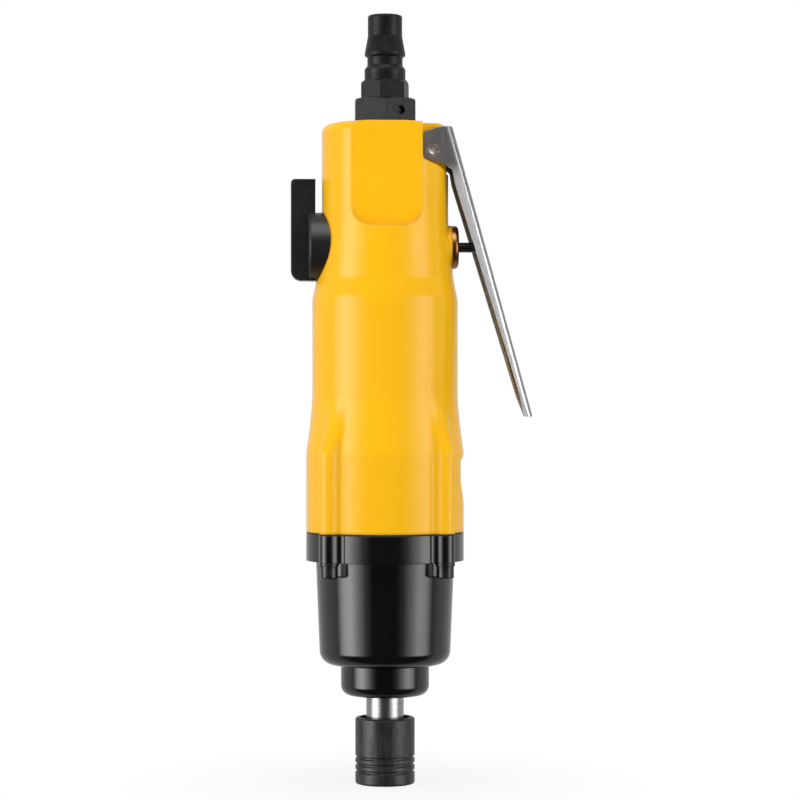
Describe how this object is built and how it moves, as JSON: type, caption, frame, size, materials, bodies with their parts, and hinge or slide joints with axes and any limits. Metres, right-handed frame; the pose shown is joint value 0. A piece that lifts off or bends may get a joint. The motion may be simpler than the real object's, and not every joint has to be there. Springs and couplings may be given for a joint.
{
  "type": "pneumatic screwdriver",
  "caption": "Straight lever-throttle impact air screwdriver with a lobed die-cast housing, hammer case, quick-change bit sleeve, reverse knob and air plug.",
  "frame": {"origin": "centre of the bit socket's mouth, in the plane of the output shaft's front face", "axes": "+Z along the tool axis from the bit end to the air inlet, +X towards the throttle lever, -X towards the reverse knob"},
  "size_m": [0.0767, 0.0504, 0.2456],
  "materials": {
    "housing": "gloss yellow enamel on a die casting",
    "case": "gloss black enamel on a casting",
    "black_parts": "satin black",
    "dark_steel": "phosphated dark steel",
    "sleeve": "satin dark steel",
    "bright_steel": "ground",
    "lever": "polished sheet",
    "brass": "turned",
    "steel": "machined",
    "cast": "machined",
    "bronze": "sintered",
    "rubber": "matt",
    "vane": "laminate",
    "paper": "gasket sheet"
  },
  "bodies": {
    "root": {"motor_housing": "housing", "hammer_case": "case", "case_screws": "dark_steel", "spring_washers": "dark_steel", "case_gasket": "paper", "nose_seal": "rubber", "anvil_bushing": "bronze", "thrust_washer": "steel", "front_end_plate": "cast", "rear_end_plate": "cast", "motor_cylinder": "cast", "cylinder_dowel_pin": "steel", "front_bearing_outer": "steel", "rear_bearing_outer": "steel", "lever_pivot_pin": "dark_steel", "throttle_valve_cap": "brass", "throttle_seat_seal": "rubber", "throttle_spring": "steel", "detent_ball": "bright_steel", "detent_spring": "steel", "inlet_seal": "rubber", "inlet_bushing": "dark_steel", "inlet_screen": "bronze", "air_plug": "dark_steel"},
    "lever": {"throttle_lever": "lever"},
    "stem": {"throttle_stem": "black_parts"},
    "knob": {"reverse_knob": "black_parts", "knob_screw": "dark_steel", "reverse_valve_spool": "steel", "spool_o_ring": "rubber"},
    "rotor": {"rotor": "steel", "rotor_vanes": "vane", "hammer_cage": "steel", "hammer_pins": "steel", "hammer_front": "steel", "hammer_rear": "steel", "front_bearing_inner": "steel", "front_bearing_balls": "bright_steel", "rear_bearing_inner": "steel", "rear_bearing_balls": "bright_steel"},
    "anvil": {"anvil": "bright_steel", "bit_lock_balls": "bright_steel", "snap_ring": "dark_steel", "sleeve_washer": "steel", "sleeve_stop_ring": "dark_steel", "sleeve_spring": "steel"},
    "sleeve": {"retaining_sleeve": "sleeve"}
  },
  "joints": [
    {"name": "lever_press", "type": "hinge", "parent": "root", "child": "lever", "pos_m": [0.0149, 0, 0.2018], "axis": [0, 1, 0], "range_deg": [0, 9], "stiffness_Nm_per_rad": 1.5, "springref_deg": -14.9},
    {"name": "throttle_stem", "type": "slide", "parent": "root", "child": "stem", "axis": [-1, 0, 0], "range_m": [0, 0.0053], "deforming": ["throttle_spring"]},
    {"name": "reverse_knob", "type": "hinge", "parent": "root", "child": "knob", "pos_m": [-0.02, 0, 0.1714], "axis": [-1, 0, 0], "range_deg": [-45, 45]},
    {"name": "rotor_spin", "type": "hinge", "parent": "root", "child": "rotor", "pos_m": [0, 0, 0.1], "axis": [0, 0, 1], "continuous": true},
    {"name": "anvil_spin", "type": "hinge", "parent": "root", "child": "anvil", "pos_m": [0, 0, 0.03], "axis": [0, 0, 1], "continuous": true},
    {"name": "sleeve_pull", "type": "slide", "parent": "anvil", "child": "sleeve", "axis": [0, 0, -1], "range_m": [0, 0.004], "stiffness_N_per_m": 600, "springref_m": -0.008, "deforming": ["sleeve_spring"]}
  ],
  "couplings": [
    {"joint": "throttle_stem", "follows": "lever_press", "m_per_rad": 0.0325},
    {"joint": "anvil_spin", "follows": "rotor_spin", "ratio": 1}
  ]
}
